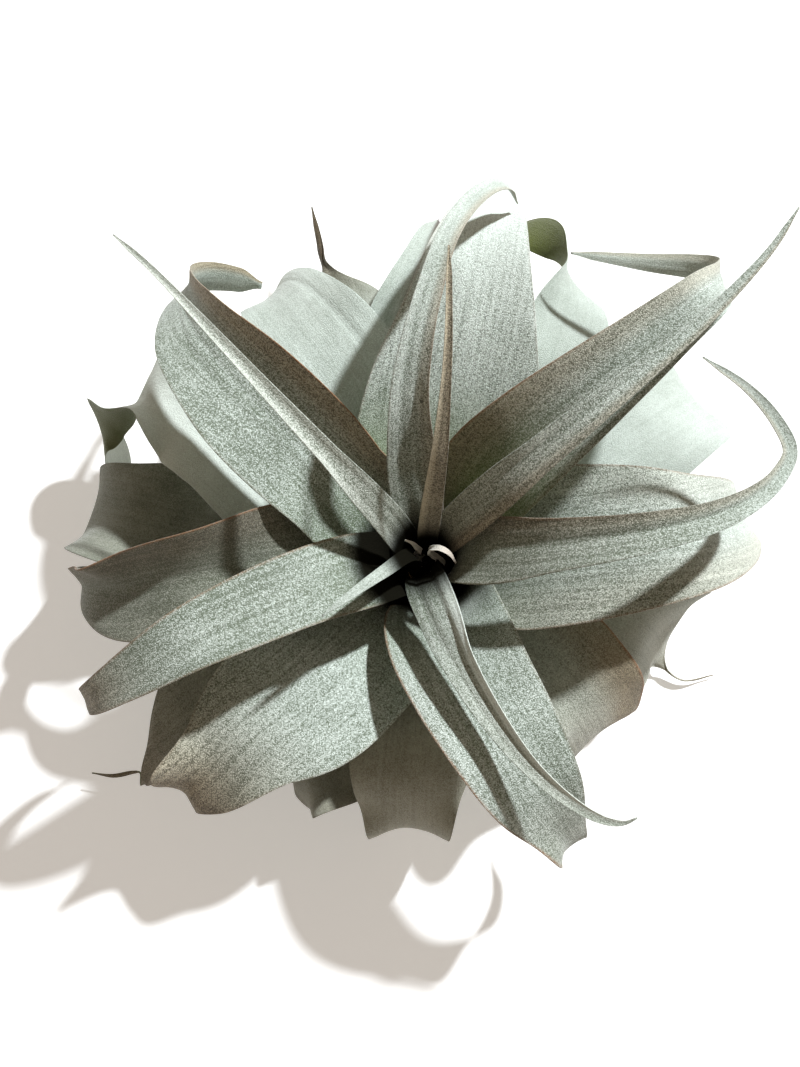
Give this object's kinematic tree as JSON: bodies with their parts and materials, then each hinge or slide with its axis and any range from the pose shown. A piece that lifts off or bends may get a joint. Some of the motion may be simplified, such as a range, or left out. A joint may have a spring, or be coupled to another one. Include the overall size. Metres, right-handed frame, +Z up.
{
  "type": "xerographica air plant",
  "caption": "Bare-rooted air plant: a flattened rosette of broad silvery leaves with curled tips round a short stem, resting on its stem foot.",
  "frame": {"origin": "middle of the flat foot of the stem, on the surface that the plant rests on", "axes": "+Z up along the stem, +X to the right and +Y away from the viewer in the picture's view"},
  "size_m": [0.1994, 0.1996, 0.1285],
  "materials": {
    "outer_leaf": "matte",
    "middle_leaf": "matte",
    "inner_leaf": "matte",
    "heart_leaf": "matte",
    "stem": "matte"
  },
  "bodies": {
    "root": {"stem": "stem", "outer_leaf_01": "outer_leaf", "outer_leaf_02": "outer_leaf", "outer_leaf_03": "outer_leaf", "outer_leaf_04": "outer_leaf", "outer_leaf_05": "outer_leaf", "outer_leaf_06": "outer_leaf", "outer_leaf_07": "outer_leaf", "outer_leaf_08": "outer_leaf", "middle_leaf_01": "outer_leaf", "middle_leaf_02": "outer_leaf", "middle_leaf_03": "outer_leaf", "middle_leaf_04": "outer_leaf", "middle_leaf_05": "middle_leaf", "middle_leaf_06": "middle_leaf", "middle_leaf_07": "middle_leaf", "middle_leaf_08": "middle_leaf", "middle_leaf_09": "middle_leaf", "middle_leaf_10": "middle_leaf", "inner_leaf_01": "middle_leaf", "inner_leaf_02": "middle_leaf", "inner_leaf_03": "middle_leaf", "inner_leaf_04": "inner_leaf", "inner_leaf_05": "inner_leaf", "inner_leaf_06": "inner_leaf", "inner_leaf_07": "inner_leaf", "inner_leaf_08": "inner_leaf", "inner_leaf_09": "inner_leaf", "heart_leaf_01": "heart_leaf", "heart_leaf_02": "heart_leaf"}
  },
  "joints": []
}
